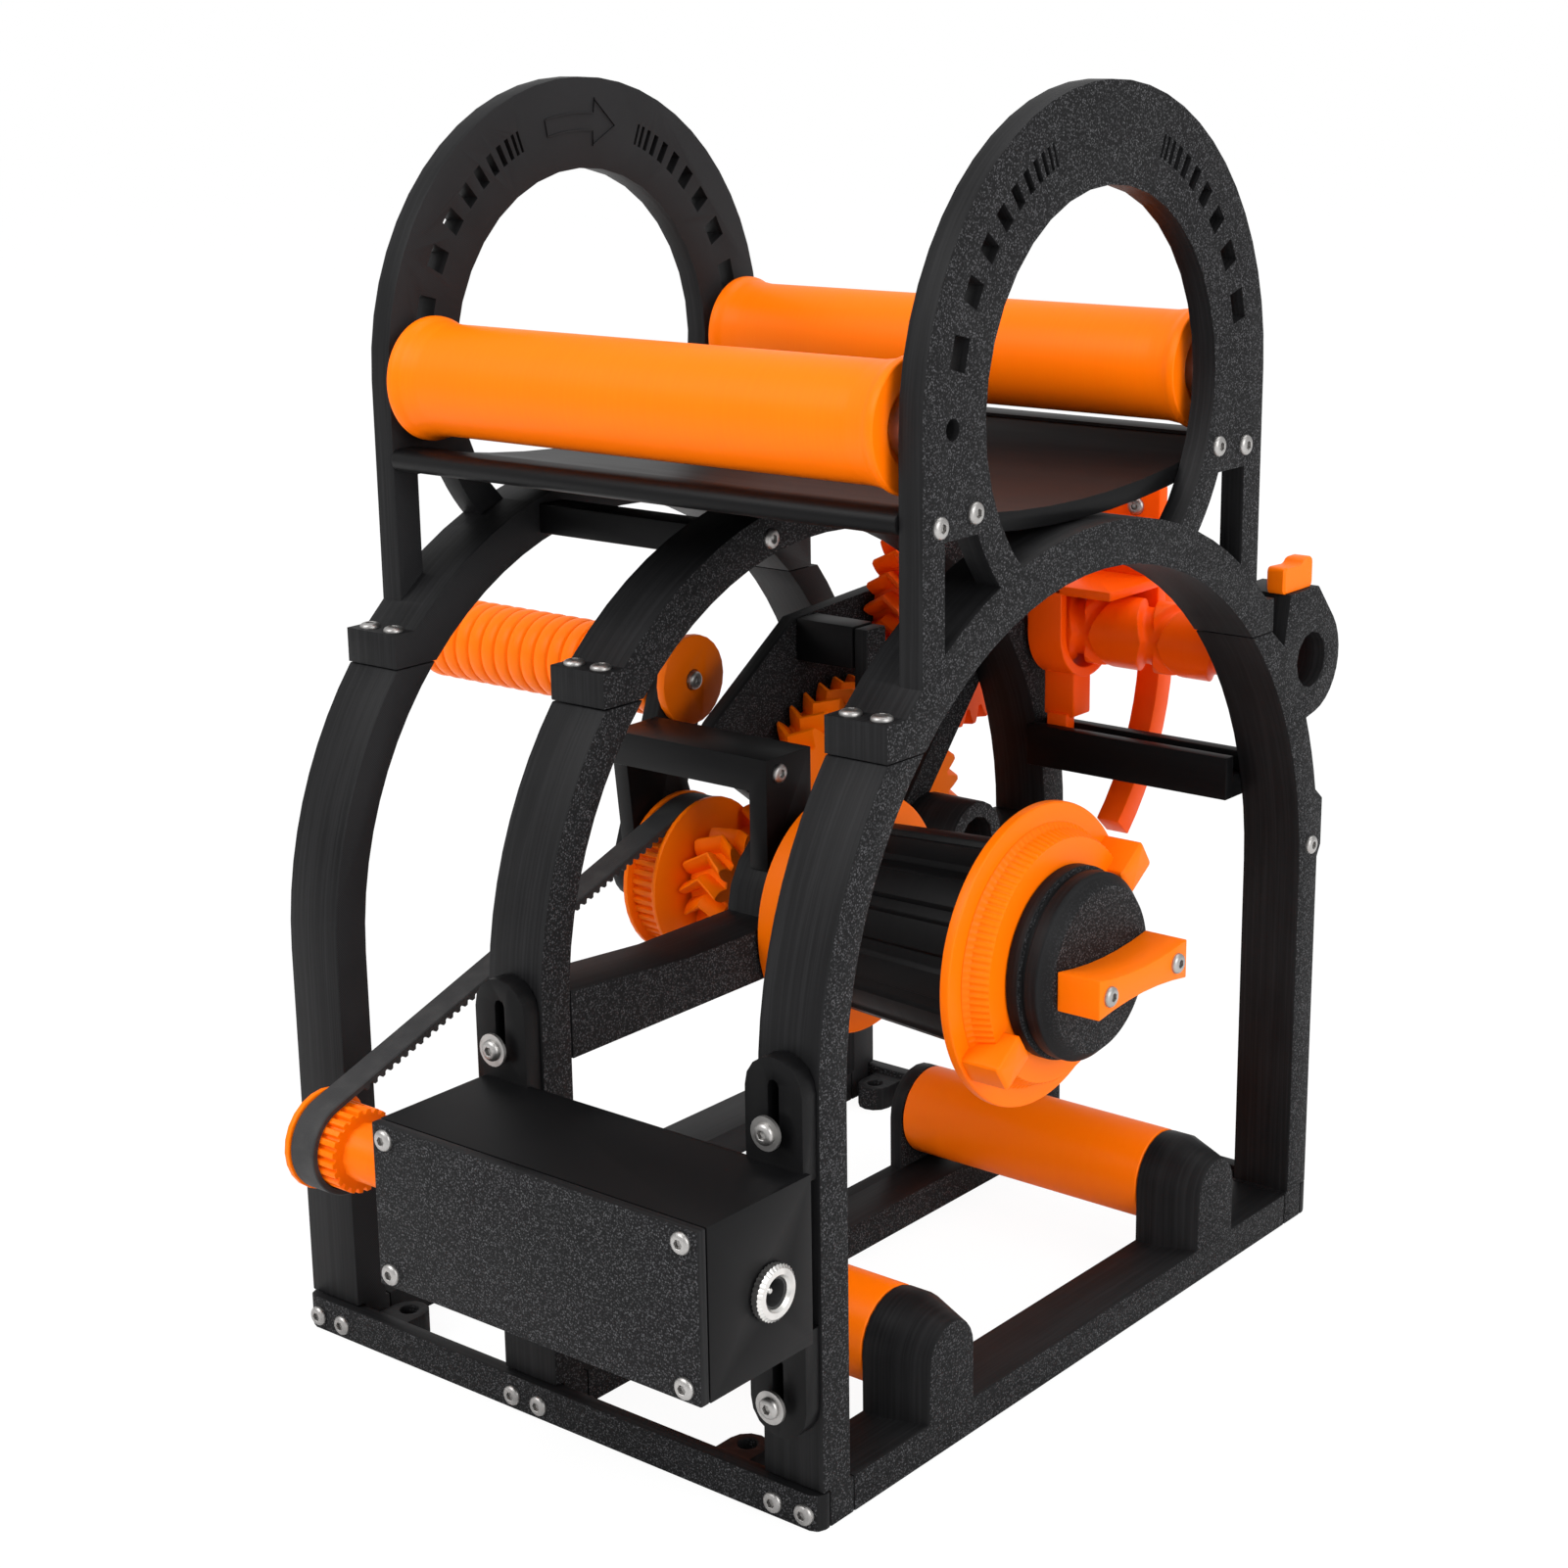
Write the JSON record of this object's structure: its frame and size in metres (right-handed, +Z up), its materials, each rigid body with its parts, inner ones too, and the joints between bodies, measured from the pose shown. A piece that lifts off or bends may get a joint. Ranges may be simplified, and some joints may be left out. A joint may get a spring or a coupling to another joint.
{
  "type": "filament spool winder",
  "caption": "Hand-cranked and motor-driven winder that moves printing filament from a full spool on rollers to an empty one on a hub, with a level wind.",
  "frame": {"origin": "on the floor, at the middle of the middle base bar's underside", "axes": "+X along the shafts towards the hub's free end, -Y towards the motor box, +Z up"},
  "size_m": [0.2836, 0.3149, 0.345],
  "materials": {
    "black_print": "black printed plastic with fine layer lines and sparkling plate-side faces",
    "orange_print": "silky orange printed plastic with fine layer lines",
    "bright_steel": "bright turned steel",
    "belt_rubber": "matte black belt rubber"
  },
  "bodies": {
    "frame": {"right_front_leg": "black_print", "right_back_leg": "black_print", "middle_front_leg": "black_print", "middle_back_leg": "black_print", "left_front_leg": "black_print", "left_back_leg": "black_print", "right_base": "black_print", "middle_base": "black_print", "left_base": "black_print", "right_ring": "black_print", "left_ring": "black_print", "middle_crown": "black_print", "front_rail": "black_print", "back_rail": "black_print", "spool_tray": "black_print", "crown_tie_bar": "black_print", "hub_carrier": "black_print", "yoke": "black_print", "gear_plate_left": "black_print", "gear_plate_right": "black_print", "gear_tie_bar": "black_print", "level_wind_rail": "black_print", "motor_box": "black_print", "box_front_panel": "black_print", "filament_clip": "orange_print", "top_front_axle": "bright_steel", "top_back_axle": "bright_steel", "lower_front_axle": "bright_steel", "lower_back_axle": "bright_steel", "hub_bearing_left": "bright_steel", "hub_bearing_right": "bright_steel", "yoke_bearing": "bright_steel", "idler_axle": "bright_steel", "dc_jack": "bright_steel", "motor": "bright_steel", "drive_belt": "belt_rubber"},
    "hub": {"hub_shaft": "bright_steel", "hub_pulley": "orange_print", "hub_pinion": "orange_print", "spool_disc": "orange_print", "hub_core": "black_print", "crank_arm": "black_print", "grip_cap": "orange_print", "grip_bolt": "bright_steel"},
    "grip": {"crank_grip": "orange_print"},
    "nut": {"flange_nut": "orange_print"},
    "cap": {"end_cap": "black_print", "clamp_lever": "orange_print"},
    "idler": {"idler_gear": "orange_print"},
    "drum": {"drum_gear": "orange_print", "drum_shaft": "bright_steel", "cam_drum": "orange_print"},
    "motor_drive": {"motor_pulley": "orange_print", "motor_shaft": "bright_steel"},
    "guide": {"carriage": "orange_print", "guide_arm": "orange_print"},
    "top_front": {"top_front_roller": "orange_print"},
    "top_back": {"top_back_roller": "orange_print"},
    "lower_front": {"lower_front_roller": "orange_print"},
    "lower_back": {"lower_back_roller": "orange_print"}
  },
  "joints": [
    {"name": "hub_spin", "type": "hinge", "parent": "frame", "child": "hub", "pos_m": [0, 0, 0.1135], "axis": [1, 0, 0], "continuous": true},
    {"name": "grip_spin", "type": "hinge", "parent": "hub", "child": "grip", "pos_m": [-0.116, 0.01818, 0.16752], "axis": [1, 0, 0], "continuous": true},
    {"name": "nut_turn", "type": "hinge", "parent": "hub", "child": "nut", "pos_m": [0.08, 0, 0.1135], "axis": [1, 0, 0], "range_deg": [0, 90]},
    {"name": "cap_turn", "type": "hinge", "parent": "hub", "child": "cap", "pos_m": [0.095, 0, 0.1135], "axis": [1, 0, 0], "range_deg": [0, 180]},
    {"name": "idler_spin", "type": "hinge", "parent": "frame", "child": "idler", "pos_m": [-0.0285, 0.05842, 0.11659], "axis": [1, 0, 0], "continuous": true},
    {"name": "drum_spin", "type": "hinge", "parent": "frame", "child": "drum", "pos_m": [0, 0.1117, 0.1776], "axis": [1, 0, 0], "continuous": true},
    {"name": "motor_spin", "type": "hinge", "parent": "frame", "child": "motor_drive", "pos_m": [-0.043, -0.144, 0.075], "axis": [1, 0, 0], "continuous": true},
    {"name": "guide_slide", "type": "slide", "parent": "frame", "child": "guide", "axis": [1, 0, 0], "range_m": [0, 0.038]},
    {"name": "top_front_spin", "type": "hinge", "parent": "frame", "child": "top_front", "pos_m": [0, -0.0665, 0.2665], "axis": [1, 0, 0], "continuous": true},
    {"name": "top_back_spin", "type": "hinge", "parent": "frame", "child": "top_back", "pos_m": [0, 0.0665, 0.2665], "axis": [1, 0, 0], "continuous": true},
    {"name": "lower_front_spin", "type": "hinge", "parent": "frame", "child": "lower_front", "pos_m": [0.04, -0.066, 0.026], "axis": [1, 0, 0], "continuous": true},
    {"name": "lower_back_spin", "type": "hinge", "parent": "frame", "child": "lower_back", "pos_m": [0.04, 0.066, 0.026], "axis": [1, 0, 0], "continuous": true}
  ],
  "couplings": [
    {"joint": "idler_spin", "follows": "hub_spin", "ratio": -0.3},
    {"joint": "drum_spin", "follows": "hub_spin", "ratio": 0.375},
    {"joint": "motor_spin", "follows": "hub_spin", "ratio": 1.9167}
  ]
}
